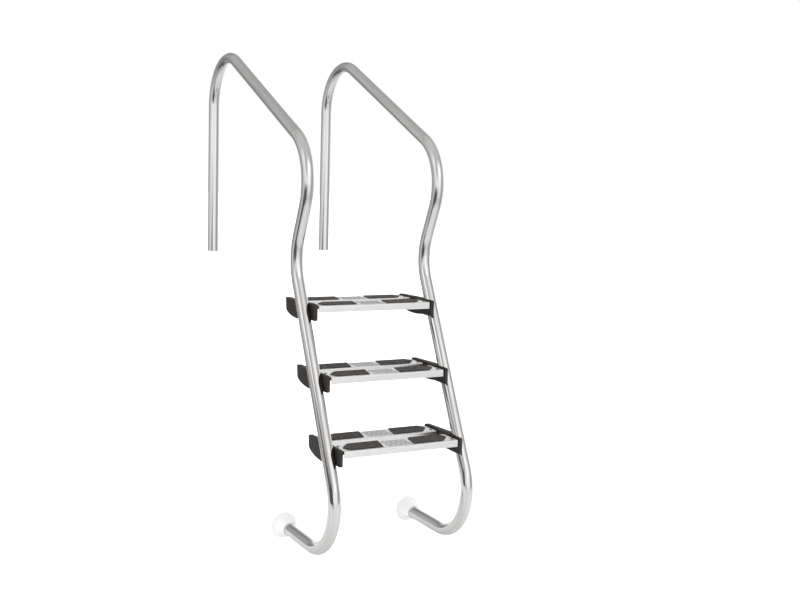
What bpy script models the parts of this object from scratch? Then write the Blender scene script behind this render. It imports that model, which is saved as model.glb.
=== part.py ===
"""Pool ladder: two bent stainless rails, three two-plank treads in moulded end caps, two wall bumpers.

Frame: X runs across the ladder, -Y points out over the pool, +Y back over the deck and Z up, in metres.
The origin is midway between the lower ends of the two deck legs. Left is the -X side.
"""

from math import atan2, ceil, cos, pi, radians, sin, tan

import bmesh
import bpy
from mathutils import Matrix, Vector

# Rails: one standard handrail tube each, bent four times in a plane across the pool edge.
TUBE_RADIUS = 0.0215
TUBE_WALL = 0.0015
RAIL_X = 0.250
BEND_RADIUS = 0.180
DECK_LEG_END = (0.0, 0.0)
TOP_CORNER = (0.0, 0.870)
KNEE_CORNER = (-1.028, 0.385)
WAIST_CORNER = (-0.868, 0.037)
LOWER_CORNER = (-1.343, -0.922)
FOOT_END = (-0.850, -0.922)

# Treads, spaced down the straight incline between the waist and the lower bend.
TREAD_NAMES = ("top_tread", "middle_tread", "bottom_tread")
TREAD_PITCH = 0.250
FIRST_TREAD = 0.204
TREAD_TOP_RISE = 0.0342
TREAD_NOSE = 0.046

# End caps: an inner plate, and an outer wing that a plan outline wraps round the inner half of the tube.
# Their heights are measured down from the planks' top, which the rim stands above.
CAP_DEPTH = 0.246
CAP_INNER_X = 0.2195
CAP_PLATE_THICK = 0.0100
CAP_FRONT_THICK = 0.0110
CAP_WING_THICK = 0.0290
CAP_BACK_THICK = 0.0130
CAP_FRONT_HEIGHT = 0.051
CAP_PLATE_HEIGHT = 0.046
CAP_WING_HEIGHT = 0.057
CAP_BACK_HEIGHT = 0.034
CAP_RIM = 0.0050
SHELF_LENGTH = 0.024
SHELF_THICK = 0.010

# Planks: pressed sheet with a deep front lip and a shallower back one.
PLANK_DEPTH = 0.093
PLANK_FRONT_STARTS = (0.004, 0.149)
PLANK_ENDS = CAP_INNER_X - 0.0005
SHEET = 0.0015
FRONT_LIP = 0.0235
BACK_LIP = 0.014
SHEET_BEND = 0.004

# Tread pads, bonded on the planks. Their ends lean, and the left pad is the right one turned half round.
PAD_INNER_X = 0.0575
PAD_TIP_X = 0.198
PAD_END_LEAN = 0.0085
PAD_NEAR_SHOULDER = 0.164
PAD_FAR_SHOULDER = 0.186
PAD_FRONT = 0.011
PAD_DEPTH = 0.077
PAD_HEIGHT = 0.0024

# Fasteners.
SCREW_X = 0.2045
SCREW_DEPTHS = {-1: 0.069, 1: 0.024}
SCREW_RADIUS = 0.0024
SCREW_HEAD_RADIUS = 0.0045
SCREW_LENGTH = 0.0115
BOLT_RADIUS = 0.004
BOLT_HEAD_RADIUS = 0.0075
BOLT_HEAD_HEIGHT = 0.0053
BOLT_LENGTH = 0.029
BOLT_DROP = 0.0205
WASHER_RADIUS = 0.008
WASHER_THICK = 0.0012
INSERT_RADIUS = 0.0052
INSERT_FLANGE_RADIUS = 0.0068
INSERT_LENGTH = 0.013

# Wall bumpers.
BUMPER_COLLAR_RADIUS = 0.0248
BUMPER_FACE_RADIUS = 0.047
BUMPER_GRIP = 0.018
BUMPER_FLARE = 0.040
BUMPER_RIM = 0.004

GAP = 0.0003
MERGE = 0.00001
ARC_STEP = radians(10)
FINE_STEP = radians(30)
TUBE_BEVEL_RESOLUTION = 6
ROUND_STEPS = 16
BUMPER_STEPS = 28
SHARP_ANGLE = radians(35)

# A curve drawn in its own XY plane and given its thickness along Z, stood up as a side view of the
# ladder: the curve's X becomes Y, its Y becomes Z and its thickness runs along X.
SIDE_VIEW = Matrix(((0, 0, 1, 0), (1, 0, 0, 0), (0, 1, 0, 0), (0, 0, 0, 1)))
ALONG_X = Matrix.Rotation(pi / 2, 4, "Y")
ALONG_BACK = Matrix.Rotation(-pi / 2, 4, "X")


def incline():
    """The unit direction down the straight of a rail that carries the treads, as (y, z)."""
    return (Vector(LOWER_CORNER) - Vector(WAIST_CORNER)).normalized()


def tread_reference(index):
    """The point on the rail's centre line that a tread is set out from, as (y, z)."""
    return Vector(WAIST_CORNER) + incline() * (FIRST_TREAD + TREAD_PITCH * index)


def tread_origin(index):
    """A tread's own origin: mid width, at the nose and at the top of the planks."""
    y, z = tread_reference(index)
    return Vector((0, y - TREAD_NOSE, z + TREAD_TOP_RISE))


def axis_depth(drop):
    """How far behind the nose the rail's centre line is, at this distance below a tread's top."""
    down = incline()
    return TREAD_NOSE + (drop - TREAD_TOP_RISE) * down.x / -down.y


def rounded(corners, step, closed=True):
    """The points of a line through (a, b, radius) corners, with an arc of that radius at each."""
    points = []
    for i, (a, b, radius) in enumerate(corners):
        corner = Vector((a, b))
        if radius == 0 or (not closed and i in (0, len(corners) - 1)):
            points.append(corner)
            continue
        into = (corner - Vector(corners[i - 1][:2])).normalized()
        out = (Vector(corners[(i + 1) % len(corners)][:2]) - corner).normalized()
        turn = atan2(into.x * out.y - into.y * out.x, into.dot(out))
        side = 1 if turn > 0 else -1
        start = corner - into * radius * tan(abs(turn) / 2)
        centre = start + Vector((-into.y, into.x)) * radius * side
        pieces = ceil(abs(turn) / step)
        for k in range(pieces + 1):
            angle = turn * k / pieces
            points.append(centre + Matrix.Rotation(angle, 2) @ (start - centre))
    return points


def collection(name):
    made = bpy.data.collections.new(name)
    bpy.context.scene.collection.children.link(made)
    return made


def material(name, colour, metallic, roughness):
    made = bpy.data.materials.new(name)
    made.use_nodes = True
    shader = made.node_tree.nodes["Principled BSDF"]
    shader.inputs["Base Color"].default_value = (*colour, 1)
    shader.inputs["Metallic"].default_value = metallic
    shader.inputs["Roughness"].default_value = roughness
    return made


def poly_curve(name, points, closed):
    """A curve object through these 2D or 3D points."""
    curve = bpy.data.curves.new(name, "CURVE")
    spline = curve.splines.new("POLY")
    spline.points.add(len(points) - 1)
    for target, point in zip(spline.points, points):
        target.co = (*Vector(point).to_3d(), 1)
    spline.use_cyclic_u = closed
    made = bpy.data.objects.new(name, curve)
    bpy.context.scene.collection.objects.link(made)
    return made


def baked(obj, turn=Matrix.Identity(4)):
    """The mesh that an object's curve or modifiers make, turned, with its seams welded. The object goes."""
    bpy.context.view_layer.update()
    mesh = bpy.data.meshes.new_from_object(obj.evaluated_get(bpy.context.evaluated_depsgraph_get()))
    mesh.transform(turn @ obj.matrix_world)
    work = bmesh.new()
    work.from_mesh(mesh)
    bmesh.ops.remove_doubles(work, verts=work.verts, dist=MERGE)
    bmesh.ops.recalc_face_normals(work, faces=work.faces)
    work.to_mesh(mesh)
    work.free()
    bpy.data.objects.remove(obj)
    return mesh


def flat_solid(outline, thickness, turn=Matrix.Identity(4)):
    """A closed mesh of a flat outline, centred on its own plane, with this thickness."""
    obj = poly_curve("outline", outline, closed=True)
    obj.data.dimensions = "2D"
    obj.data.fill_mode = "BOTH"
    obj.data.extrude = thickness / 2
    return baked(obj, turn)


def cylinder(radius, length, centre, turn=Matrix.Identity(4), sides=ROUND_STEPS):
    """A closed cylinder along Z before it is turned, about its centre."""
    mesh = bpy.data.meshes.new("cylinder")
    work = bmesh.new()
    bmesh.ops.create_cone(
        work, cap_ends=True, segments=sides, radius1=radius, radius2=radius, depth=length
    )
    bmesh.ops.transform(work, matrix=Matrix.Translation(centre) @ turn, verts=work.verts)
    work.to_mesh(mesh)
    work.free()
    return mesh


def box(low, high):
    """A closed box between two corners."""
    mesh = bpy.data.meshes.new("box")
    low, high = Vector(low), Vector(high)
    work = bmesh.new()
    bmesh.ops.create_cube(work, size=1)
    place = Matrix.Translation((low + high) / 2) @ Matrix.Diagonal((*(high - low), 1))
    bmesh.ops.transform(work, matrix=place, verts=work.verts)
    work.to_mesh(mesh)
    work.free()
    return mesh


def together(meshes):
    """One mesh that holds these separate ones."""
    work = bmesh.new()
    for mesh in meshes:
        work.from_mesh(mesh)
    joined = bpy.data.meshes.new("together")
    work.to_mesh(joined)
    work.free()
    return joined


def combined(mesh, operation, other):
    """The mesh after one Boolean with another mesh."""
    body = bpy.data.objects.new("body", mesh)
    tool = bpy.data.objects.new("tool", other)
    for obj in (body, tool):
        bpy.context.scene.collection.objects.link(obj)
    boolean = body.modifiers.new("boolean", "BOOLEAN")
    boolean.operation = operation
    boolean.object = tool
    result = baked(body)
    bpy.data.objects.remove(tool)
    return result


def turned(profile, steps=ROUND_STEPS, closed=False, turn=Matrix.Identity(4)):
    """A mesh turned about Z from (radius, height) points that run down its outer side."""
    mesh = bpy.data.meshes.new("profile")
    pairs = [(i, i + 1) for i in range(len(profile) - 1)]
    if closed:
        pairs.append((len(profile) - 1, 0))
    mesh.from_pydata([(r, 0, h) for r, h in profile], pairs, [])
    obj = bpy.data.objects.new("profile", mesh)
    bpy.context.scene.collection.objects.link(obj)
    screw = obj.modifiers.new("turn", "SCREW")
    screw.steps = steps
    screw.render_steps = steps
    screw.use_merge_vertices = True
    screw.merge_threshold = MERGE
    return baked(obj, turn)


def mirrored(mesh):
    """A copy of a mesh for the other side of the ladder."""
    work = bmesh.new()
    work.from_mesh(mesh)
    bmesh.ops.transform(work, matrix=Matrix.Diagonal((-1, 1, 1, 1)), verts=work.verts)
    bmesh.ops.reverse_faces(work, faces=work.faces)
    other = bpy.data.meshes.new(mesh.name + "_mirrored")
    work.to_mesh(other)
    work.free()
    return other


def place(name, mesh, finish, location=(0, 0, 0), turn=0.0):
    """One node: an object that shows this mesh in this finish."""
    if not mesh.materials:
        mesh.materials.append(finish)
        mesh.shade_smooth()
        mesh.set_sharp_from_angle(angle=SHARP_ANGLE)
    node = bpy.data.objects.new(name, mesh)
    node.location = location
    node.rotation_euler.z = turn
    parts.objects.link(node)
    return node


def rail_path():
    """The centre line of a rail, as (y, z) points, from the deck leg's end to the foot's end."""
    bends = (TOP_CORNER, KNEE_CORNER, WAIST_CORNER, LOWER_CORNER)
    corners = [(*DECK_LEG_END, 0), *((*bend, BEND_RADIUS) for bend in bends), (*FOOT_END, 0)]
    return rounded(corners, ARC_STEP, closed=False)


def rail_mesh(x):
    """The outer skin of a rail, open at both ends."""
    obj = poly_curve("rail", [(x, y, z) for y, z in rail_path()], closed=False)
    obj.data.dimensions = "3D"
    obj.data.bevel_depth = TUBE_RADIUS
    obj.data.bevel_resolution = TUBE_BEVEL_RESOLUTION
    return baked(obj)


def bolt_centre(index, x):
    """Where a tread's bolt crosses the plane at this x."""
    origin = tread_origin(index)
    return Vector((x, origin.y + axis_depth(BOLT_DROP), origin.z - BOLT_DROP))


def make_rail(name, side, finish):
    rail = place(name, rail_mesh(side * RAIL_X), finish)
    wall = rail.modifiers.new("tube_wall", "SOLIDIFY")
    wall.thickness = TUBE_WALL
    wall.offset = -1
    hole_x = side * (RAIL_X - TUBE_RADIUS)
    holes = [
        cylinder(INSERT_RADIUS + GAP, TUBE_RADIUS / 2, bolt_centre(index, hole_x), ALONG_X)
        for index in range(len(TREAD_NAMES))
    ]
    cutter = bpy.data.objects.new(name + "_insert_holes", together(holes))
    cutter.display_type = "WIRE"
    cutter.hide_render = True
    cutters.objects.link(cutter)
    cut = rail.modifiers.new("insert_holes", "BOOLEAN")
    cut.object = cutter


def bumper_mesh():
    """A bumper turned about its tube's axis, from the wall face at the top down to the collar's lip.

    The arc between collar and rim is a quarter of an ellipse, hollow side out.
    """
    flare = [
        (
            BUMPER_FACE_RADIUS - (BUMPER_FACE_RADIUS - BUMPER_COLLAR_RADIUS) * sin(radians(a)),
            BUMPER_FLARE - BUMPER_RIM - (BUMPER_FLARE - BUMPER_RIM) * (1 - cos(radians(a))),
        )
        for a in range(0, 91, 15)
    ]
    profile = [
        (0, BUMPER_FLARE),
        (BUMPER_FACE_RADIUS - 0.001, BUMPER_FLARE),
        (BUMPER_FACE_RADIUS, BUMPER_FLARE - 0.001),
        *flare,
        (BUMPER_COLLAR_RADIUS, 0.001 - BUMPER_GRIP),
        (BUMPER_COLLAR_RADIUS - 0.001, -BUMPER_GRIP),
        (TUBE_RADIUS + GAP, -BUMPER_GRIP),
        (TUBE_RADIUS + GAP, GAP),
        (0, GAP),
    ]
    return turned(profile, steps=BUMPER_STEPS, turn=ALONG_BACK)


def cap_layer(lowest, turn_depth, inner_x, outer_x):
    """One thickness of a cap's side view between two x planes.

    Its lower edge runs from the front corner to the lowest point, this far behind the nose, and then
    up to the back edge as a quarter of an ellipse.
    """
    curve = [
        (
            turn_depth + (CAP_DEPTH - turn_depth) * cos(radians(a)),
            -CAP_BACK_HEIGHT - (lowest - CAP_BACK_HEIGHT) * sin(radians(a)),
            0,
        )
        for a in range(0, 91, 15)
    ]
    corners = [
        (0, CAP_RIM, 0.007),
        (0, -CAP_FRONT_HEIGHT, 0.006),
        (0.060, -CAP_FRONT_HEIGHT, 0),
        *reversed(curve),
        (CAP_DEPTH, CAP_RIM, 0.005),
    ]
    layer = flat_solid(rounded(corners, FINE_STEP), outer_x - inner_x, SIDE_VIEW)
    layer.transform(Matrix.Translation(((inner_x + outer_x) / 2, 0, 0)))
    return layer


def cap_mesh():
    """The right-hand end cap of a tread, in the tread's own frame."""
    plate_end = CAP_INNER_X + CAP_PLATE_THICK
    plate = cap_layer(CAP_PLATE_HEIGHT, 0.160, CAP_INNER_X, plate_end)
    wing = cap_layer(CAP_WING_HEIGHT, 0.140, plate_end - 0.002, RAIL_X + TUBE_RADIUS)

    top_axis = axis_depth(0)
    beyond = 0.06
    plan = [
        (CAP_INNER_X - beyond, -beyond),
        (CAP_INNER_X + CAP_FRONT_THICK, -beyond),
        (CAP_INNER_X + CAP_FRONT_THICK, top_axis),
        (CAP_INNER_X + CAP_WING_THICK, top_axis),
        (CAP_INNER_X + CAP_WING_THICK, top_axis + TUBE_RADIUS + 0.008),
        (CAP_INNER_X + CAP_BACK_THICK, CAP_DEPTH - 0.010),
        (CAP_INNER_X + CAP_BACK_THICK, CAP_DEPTH + beyond * 2),
        (CAP_INNER_X - beyond, CAP_DEPTH + beyond * 2),
    ]
    plan_solid = flat_solid(plan, 0.3)
    slope = incline()
    shear = Matrix.Identity(4)
    shear[1][2] = slope.x / slope.y
    plan_solid.transform(shear)
    body = combined(plate, "UNION", combined(wing, "INTERSECT", plan_solid))

    shelf_top = -SHEET - GAP
    for start in PLANK_FRONT_STARTS:
        shelf = box(
            (CAP_INNER_X - SHELF_LENGTH, start + 0.006, shelf_top - SHELF_THICK),
            (CAP_INNER_X + 0.004, start + PLANK_DEPTH - 0.006, shelf_top),
        )
        body = combined(body, "UNION", shelf)

    drop = Vector((0, slope.x, slope.y))
    axis_turn = Vector((0, 0, 1)).rotation_difference(drop).to_matrix().to_4x4()
    axis_point = Vector((RAIL_X, axis_depth(BOLT_DROP), -BOLT_DROP))
    tools = [
        cylinder(TUBE_RADIUS + GAP, 0.4, axis_point, axis_turn, sides=32),
        cylinder(BOLT_RADIUS + GAP, 0.1, axis_point - Vector((0.04, 0, 0)), ALONG_X),
    ]
    for tool in tools:
        body = combined(body, "DIFFERENCE", tool)
    return body


def drilled(body, side):
    """A cap's mesh with the holes that the planks' screws bite into."""
    for start in PLANK_FRONT_STARTS:
        centre = Vector((side * SCREW_X, start + SCREW_DEPTHS[side], 0))
        body = combined(body, "DIFFERENCE", cylinder(SCREW_RADIUS + GAP, 0.04, centre))
    return body


def plank_mesh():
    """One pressed plank, as a ribbon bent down at both edges and thickened inwards."""
    corners = [
        (0, -FRONT_LIP, 0),
        (0, 0, SHEET_BEND),
        (PLANK_DEPTH, 0, SHEET_BEND),
        (PLANK_DEPTH, -BACK_LIP, 0),
    ]
    profile = [(a, b) for a, b in rounded(corners, FINE_STEP, closed=False)]
    ribbon = poly_curve("plank", profile, closed=False)
    ribbon.data.dimensions = "3D"
    ribbon.data.extrude = PLANK_ENDS
    sheet = bpy.data.objects.new("plank", baked(ribbon, SIDE_VIEW))
    bpy.context.scene.collection.objects.link(sheet)
    top = max(sheet.data.polygons, key=lambda face: face.area)
    thick = sheet.modifiers.new("sheet", "SOLIDIFY")
    thick.thickness = SHEET
    thick.offset = -1 if top.normal.z > 0 else 1
    mesh = baked(sheet)
    for side, depth in SCREW_DEPTHS.items():
        hole = cylinder(SCREW_RADIUS + GAP, 0.02, Vector((side * SCREW_X, depth, 0)))
        mesh = combined(mesh, "DIFFERENCE", hole)
    return mesh


def pad_mesh():
    """The right-hand pad of a plank about the plank's middle: a leaning inner end, a blunt outer tip."""
    half = PAD_DEPTH / 2
    corners = [
        (PAD_INNER_X - PAD_END_LEAN, -half, 0.003),
        (PAD_NEAR_SHOULDER, -half, 0.012),
        (PAD_TIP_X, 0.002, 0.008),
        (PAD_FAR_SHOULDER, half, 0.010),
        (PAD_INNER_X + PAD_END_LEAN, half, 0.003),
    ]
    mesh = flat_solid(rounded(corners, FINE_STEP), PAD_HEIGHT)
    mesh.transform(Matrix.Translation((0, 0, GAP + PAD_HEIGHT / 2)))
    return mesh


def screw_mesh():
    """A pan-head screw, standing on the plank's top with its tip down."""
    dome = [
        (SCREW_HEAD_RADIUS * sin(radians(a)), GAP + 0.0007 + 0.0018 * cos(radians(a)))
        for a in (0, 30, 60, 90)
    ]
    profile = [
        *dome,
        (SCREW_HEAD_RADIUS, GAP),
        (SCREW_RADIUS, GAP),
        (SCREW_RADIUS, -SCREW_LENGTH + 0.002),
        (0, -SCREW_LENGTH),
    ]
    return turned(profile, steps=12)


def bolt_mesh():
    """A hexagon bolt along +X, with the seat of its head at x = 0."""
    head = cylinder(
        BOLT_HEAD_RADIUS, BOLT_HEAD_HEIGHT, Vector((-BOLT_HEAD_HEIGHT / 2, 0, 0)), ALONG_X, sides=6
    )
    overlap = 0.002
    shank_centre = Vector(((BOLT_LENGTH - overlap) / 2, 0, 0))
    shank = cylinder(BOLT_RADIUS, BOLT_LENGTH + overlap, shank_centre, ALONG_X)
    return combined(head, "UNION", shank)


def washer_mesh():
    """A flat washer along +X, from x = 0."""
    profile = [
        (WASHER_RADIUS, WASHER_THICK),
        (WASHER_RADIUS, 0),
        (BOLT_RADIUS + GAP, 0),
        (BOLT_RADIUS + GAP, WASHER_THICK),
    ]
    return turned(profile, closed=True, turn=ALONG_X)


def insert_mesh():
    """The threaded insert of a rail along +X, from x = 0, with the bulge that locks it behind the wall."""
    bore = BOLT_RADIUS + GAP
    bulge_start = 0.0040
    bulge_end = 0.0060
    profile = [
        (INSERT_RADIUS, INSERT_LENGTH),
        (INSERT_RADIUS, bulge_end),
        (INSERT_FLANGE_RADIUS, bulge_end - 0.0005),
        (INSERT_FLANGE_RADIUS, bulge_start + 0.0005),
        (INSERT_RADIUS, bulge_start),
        (INSERT_RADIUS, 0),
        (bore, 0),
        (bore, INSERT_LENGTH),
    ]
    return turned(profile, closed=True, turn=ALONG_X)


def add_tread(index, name, meshes):
    """All the pieces of one tread, placed from its origin."""
    origin = tread_origin(index)
    for row, start in zip(("front", "back"), PLANK_FRONT_STARTS):
        at = origin + Vector((0, start, 0))
        place(f"{name}_{row}_plank", meshes["plank"], steel_satin, at)
        for side_name, side in (("left", -1), ("right", 1)):
            pad_at = at + Vector((0, PAD_FRONT + PAD_DEPTH / 2, 0))
            pad_turn = 0 if side > 0 else pi
            place(f"{name}_{row}_{side_name}_pad", meshes["pad"], rubber_black, pad_at, pad_turn)
            screw_at = at + Vector((side * SCREW_X, SCREW_DEPTHS[side], 0))
            place(f"{name}_{row}_{side_name}_screw", meshes["screw"], steel_dull, screw_at)
    for side_name, side in (("left", -1), ("right", 1)):
        turn = 0 if side > 0 else pi
        place(f"{name}_{side_name}_cap", meshes[side_name + "_cap"], plastic_black, origin)
        insert_at = bolt_centre(index, side * (RAIL_X - TUBE_RADIUS + GAP * 2))
        place(f"{name}_{side_name}_insert", meshes["insert"], steel_dull, insert_at, turn)
        washer_at = bolt_centre(index, side * (CAP_INNER_X - GAP - WASHER_THICK))
        place(f"{name}_{side_name}_washer", meshes["washer"], steel_dull, washer_at, turn)
        bolt_at = bolt_centre(index, side * (CAP_INNER_X - GAP * 2 - WASHER_THICK))
        place(f"{name}_{side_name}_bolt", meshes["bolt"], steel_dull, bolt_at, turn)


for old in list(bpy.data.objects):
    bpy.data.objects.remove(old)

parts = collection("pool_ladder")
cutters = collection("cutters")

steel_polished = material("polished_stainless_tube", (0.78, 0.77, 0.76), 1.0, 0.08)
steel_satin = material("satin_stainless_plank", (0.74, 0.74, 0.73), 1.0, 0.32)
steel_dull = material("plain_stainless_fastener", (0.60, 0.59, 0.58), 1.0, 0.38)
plastic_black = material("black_moulded_cap", (0.035, 0.032, 0.030), 0.0, 0.55)
rubber_black = material("black_tread_rubber", (0.045, 0.042, 0.040), 0.0, 0.80)
plastic_white = material("white_bumper_plastic", (0.88, 0.88, 0.87), 0.0, 0.40)

cap = cap_mesh()
tread_meshes = {
    "plank": plank_mesh(),
    "right_cap": drilled(cap.copy(), 1),
    "left_cap": drilled(mirrored(cap), -1),
    "pad": pad_mesh(),
    "screw": screw_mesh(),
    "bolt": bolt_mesh(),
    "washer": washer_mesh(),
    "insert": insert_mesh(),
}
for tread_index, tread_name in enumerate(TREAD_NAMES):
    add_tread(tread_index, tread_name, tread_meshes)

bumper = bumper_mesh()
for end_name, end_side in (("left", -1), ("right", 1)):
    make_rail(end_name + "_rail", end_side, steel_polished)
    foot = (end_side * RAIL_X, *FOOT_END)
    place(end_name + "_wall_bumper", bumper, plastic_white, foot)
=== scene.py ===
from math import atan2, cos, pi, radians, sin, tan

import bmesh
import bpy
import numpy as np
from mathutils import Matrix, Vector


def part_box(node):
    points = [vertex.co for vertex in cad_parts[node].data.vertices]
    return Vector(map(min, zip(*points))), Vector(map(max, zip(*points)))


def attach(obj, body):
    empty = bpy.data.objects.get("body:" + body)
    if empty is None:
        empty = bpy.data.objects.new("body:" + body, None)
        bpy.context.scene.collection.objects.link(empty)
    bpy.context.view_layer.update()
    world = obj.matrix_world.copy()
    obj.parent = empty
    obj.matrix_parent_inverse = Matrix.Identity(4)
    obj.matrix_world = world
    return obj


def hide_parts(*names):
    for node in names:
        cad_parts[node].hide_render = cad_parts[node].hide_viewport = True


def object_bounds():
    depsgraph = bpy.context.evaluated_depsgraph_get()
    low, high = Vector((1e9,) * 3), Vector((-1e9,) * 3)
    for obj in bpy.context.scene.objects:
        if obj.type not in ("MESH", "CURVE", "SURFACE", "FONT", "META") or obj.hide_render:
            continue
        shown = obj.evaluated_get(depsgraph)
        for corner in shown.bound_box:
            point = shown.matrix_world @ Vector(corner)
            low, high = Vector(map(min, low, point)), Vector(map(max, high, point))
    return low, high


# A swimming pool ladder. Frame: X across the ladder, -Y out over the pool, +Z up, in metres.

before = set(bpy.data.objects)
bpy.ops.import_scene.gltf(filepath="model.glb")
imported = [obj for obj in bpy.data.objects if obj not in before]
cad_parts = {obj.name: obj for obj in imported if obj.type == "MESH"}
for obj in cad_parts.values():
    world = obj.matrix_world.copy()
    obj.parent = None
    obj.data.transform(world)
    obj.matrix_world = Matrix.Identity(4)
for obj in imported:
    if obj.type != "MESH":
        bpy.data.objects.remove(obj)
cad_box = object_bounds()
SCENE = bpy.context.scene

# ---------------------------------------------------------------- the ladder's own measures

TUBE_RADIUS = 0.0215
TUBE_WALL = 0.0015
RAIL_X = 0.250
BEND_RADIUS = 0.180
TUBE_STEPS = 96
RAIL_CORNERS = (
    (0.0, 0.0),
    (0.0, 0.870),
    (-1.028, 0.385),
    (-0.868, 0.037),
    (-1.343, -0.922),
    (-0.850, -0.922),
)
WAIST, LOWER_BEND = 3, 4

TREADS = ("top_tread", "middle_tread", "bottom_tread")
SIDES = (("left", -1), ("right", 1))
ROWS = ("front", "back")

SHEET = 0.0015
SHEET_BEND = 0.004
FRONT_LIP = 0.0235
BACK_LIP = 0.014
OVAL_COLUMNS, OVAL_ROWS = 5, 2
OVAL_PITCH_X, OVAL_PITCH_Y = 0.0185, 0.0360
OVAL_HALF_X, OVAL_HALF_Y = 0.0068, 0.0130
OVAL_FIRST_ROW = 0.0285
OVAL_MEAN_HALF = 0.0095
OVAL_RISE = 0.0014
DIMPLE_DROP = 0.00035
EMBOSSED_HALF = 0.048

PAD_LEAN = 0.0085
PAD_NEAR_SHOULDER = 0.164
PAD_FAR_SHOULDER = 0.186
PAD_TIP_X = 0.198
PAD_INNER_X = 0.0575

TREAD_NOSE = 0.046
CAP_DEPTH = 0.246
CAP_INNER_X = 0.2195
CAP_RIM = 0.0050
CAP_FRONT_HEIGHT = 0.051
CAP_PLATE_HEIGHT = 0.046
CAP_WING_HEIGHT = 0.057
CAP_BACK_HEIGHT = 0.034
CAP_PLATE_THICK = 0.0085
CAP_FRONT_THICK = 0.0110
CAP_WING_THICK = 0.0290
CAP_BACK_THICK = 0.0130
CAP_SOFT = 0.0012
CAP_CORNERS = {"top": 0.007, "bottom": 0.006, "rear": 0.005}
SHELF_LENGTH = 0.024
SHELF_THICK = 0.010

BUMPER_STEPS = 112
SCREW_HEAD = 0.0045
SCREW_SHANK = 0.0024
BOLT_HEAD = 0.0075
BOLT_HEAD_HEIGHT = 0.0053
BOLT_SHANK = 0.004
GAP = 0.0003


# ---------------------------------------------------------------- surfaces

def surface(sheets, name, finish, node, sharp=38, layer=None):
    """One piece from grids of points.

    Each sheet is (points[rows, columns, 3], rows wrap, columns wrap). Neighbouring grid points make
    four-sided faces, rows and columns that wrap meet their own first one, seams are welded, and the
    faces are turned outwards. A layer is a name and a grid of vectors for each sheet, which the mesh
    keeps.
    """
    points, faces, kept, base = [], [], [], 0
    for i, (grid, wrap_rows, wrap_columns) in enumerate(sheets):
        rows, columns = grid.shape[:2]
        number = base + np.arange(rows * columns).reshape(rows, columns)
        if wrap_rows:
            number = np.vstack([number, number[:1]])
        if wrap_columns:
            number = np.hstack([number, number[:, :1]])
        quads = np.stack([number[:-1, :-1], number[1:, :-1], number[1:, 1:], number[:-1, 1:]], -1)
        faces.append(quads.reshape(-1, 4))
        points.append(grid.reshape(-1, 3))
        kept.append(layer[1][i].reshape(-1, 3) if layer else np.zeros((0, 3)))
        base += rows * columns
    mesh = bpy.data.meshes.new(name)
    mesh.from_pydata(np.concatenate(points), [], np.concatenate(faces).tolist())
    if layer:
        kept_layer = mesh.attributes.new(layer[0], "FLOAT_VECTOR", "POINT")
        kept_layer.data.foreach_set("vector", np.concatenate(kept).astype(np.float32).ravel())
    work = bmesh.new()
    work.from_mesh(mesh)
    bmesh.ops.remove_doubles(work, verts=work.verts, dist=0.000002)
    bmesh.ops.dissolve_degenerate(work, edges=work.edges, dist=0.000001)
    bmesh.ops.recalc_face_normals(work, faces=work.faces)
    work.to_mesh(mesh)
    work.free()
    mesh.shade_smooth()
    mesh.set_sharp_from_angle(angle=radians(sharp))
    mesh.materials.append(finish)
    piece = bpy.data.objects.new(name, mesh)
    SCENE.collection.objects.link(piece)
    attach(piece, "root")
    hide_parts(node)
    return piece


def stack(x, y, z):
    """Three arrays of any matching shapes as one grid of points."""
    return np.stack(np.broadcast_arrays(x, y, z), -1).astype(float)


def soft_step(value, low, high):
    """0 below low, 1 above high, and 3t squared less 2t cubed of the way t between them."""
    t = np.clip((value - low) / (high - low), 0, 1)
    return t * t * (3 - 2 * t)


def line_pieces(corners):
    """A line with rounded corners, from (a, b, radius) corners, as straight and arc pieces.

    A piece is (start a, start b, heading, curvature, length), and its heading turns by its
    curvature times the distance gone. An arc starts and ends radius times tan(half the turn) away
    from its corner.
    """
    spots = [np.array(corner[:2], float) for corner in corners]
    radii = [corner[2] if len(corner) > 2 else 0.0 for corner in corners]
    legs = [b - a for a, b in zip(spots, spots[1:])]
    headings = [atan2(leg[1], leg[0]) for leg in legs]
    turns = [(b - a + pi) % (2 * pi) - pi for a, b in zip(headings, headings[1:])]
    cut = [0.0] + [r * tan(abs(t) / 2) for r, t in zip(radii[1:-1], turns)] + [0.0]
    pieces = []
    for i, leg in enumerate(legs):
        way = leg / np.linalg.norm(leg)
        start = spots[i] + way * cut[i]
        pieces.append((*start, headings[i], 0.0, np.linalg.norm(leg) - cut[i] - cut[i + 1]))
        if i < len(turns) and radii[i + 1] > 0:
            bend_start = spots[i + 1] - way * cut[i + 1]
            curvature = np.sign(turns[i]) / radii[i + 1]
            pieces.append((*bend_start, headings[i], curvature, radii[i + 1] * abs(turns[i])))
    return np.array(pieces)


def along(pieces, distance):
    """Points and headings at these distances along a line's pieces.

    On an arc of curvature c from heading h, after a distance s a point has moved by
    (sin(h + cs) - sin h) / c across and (cos h - cos(h + cs)) / c up. On a straight it has moved
    by s along its heading.
    """
    starts = np.concatenate([[0], np.cumsum(pieces[:-1, 4])])
    index = np.clip(np.searchsorted(starts, distance, side="right") - 1, 0, len(pieces) - 1)
    a, b, heading, curvature, _ = pieces[index].T
    gone = distance - starts[index]
    straight = curvature == 0
    bend = np.where(straight, 1.0, curvature)
    turned = heading + curvature * gone
    across = np.where(straight, gone * np.cos(heading), (np.sin(turned) - np.sin(heading)) / bend)
    up = np.where(straight, gone * np.sin(heading), (np.cos(heading) - np.cos(turned)) / bend)
    return np.stack([a + across, b + up], -1), turned


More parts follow.
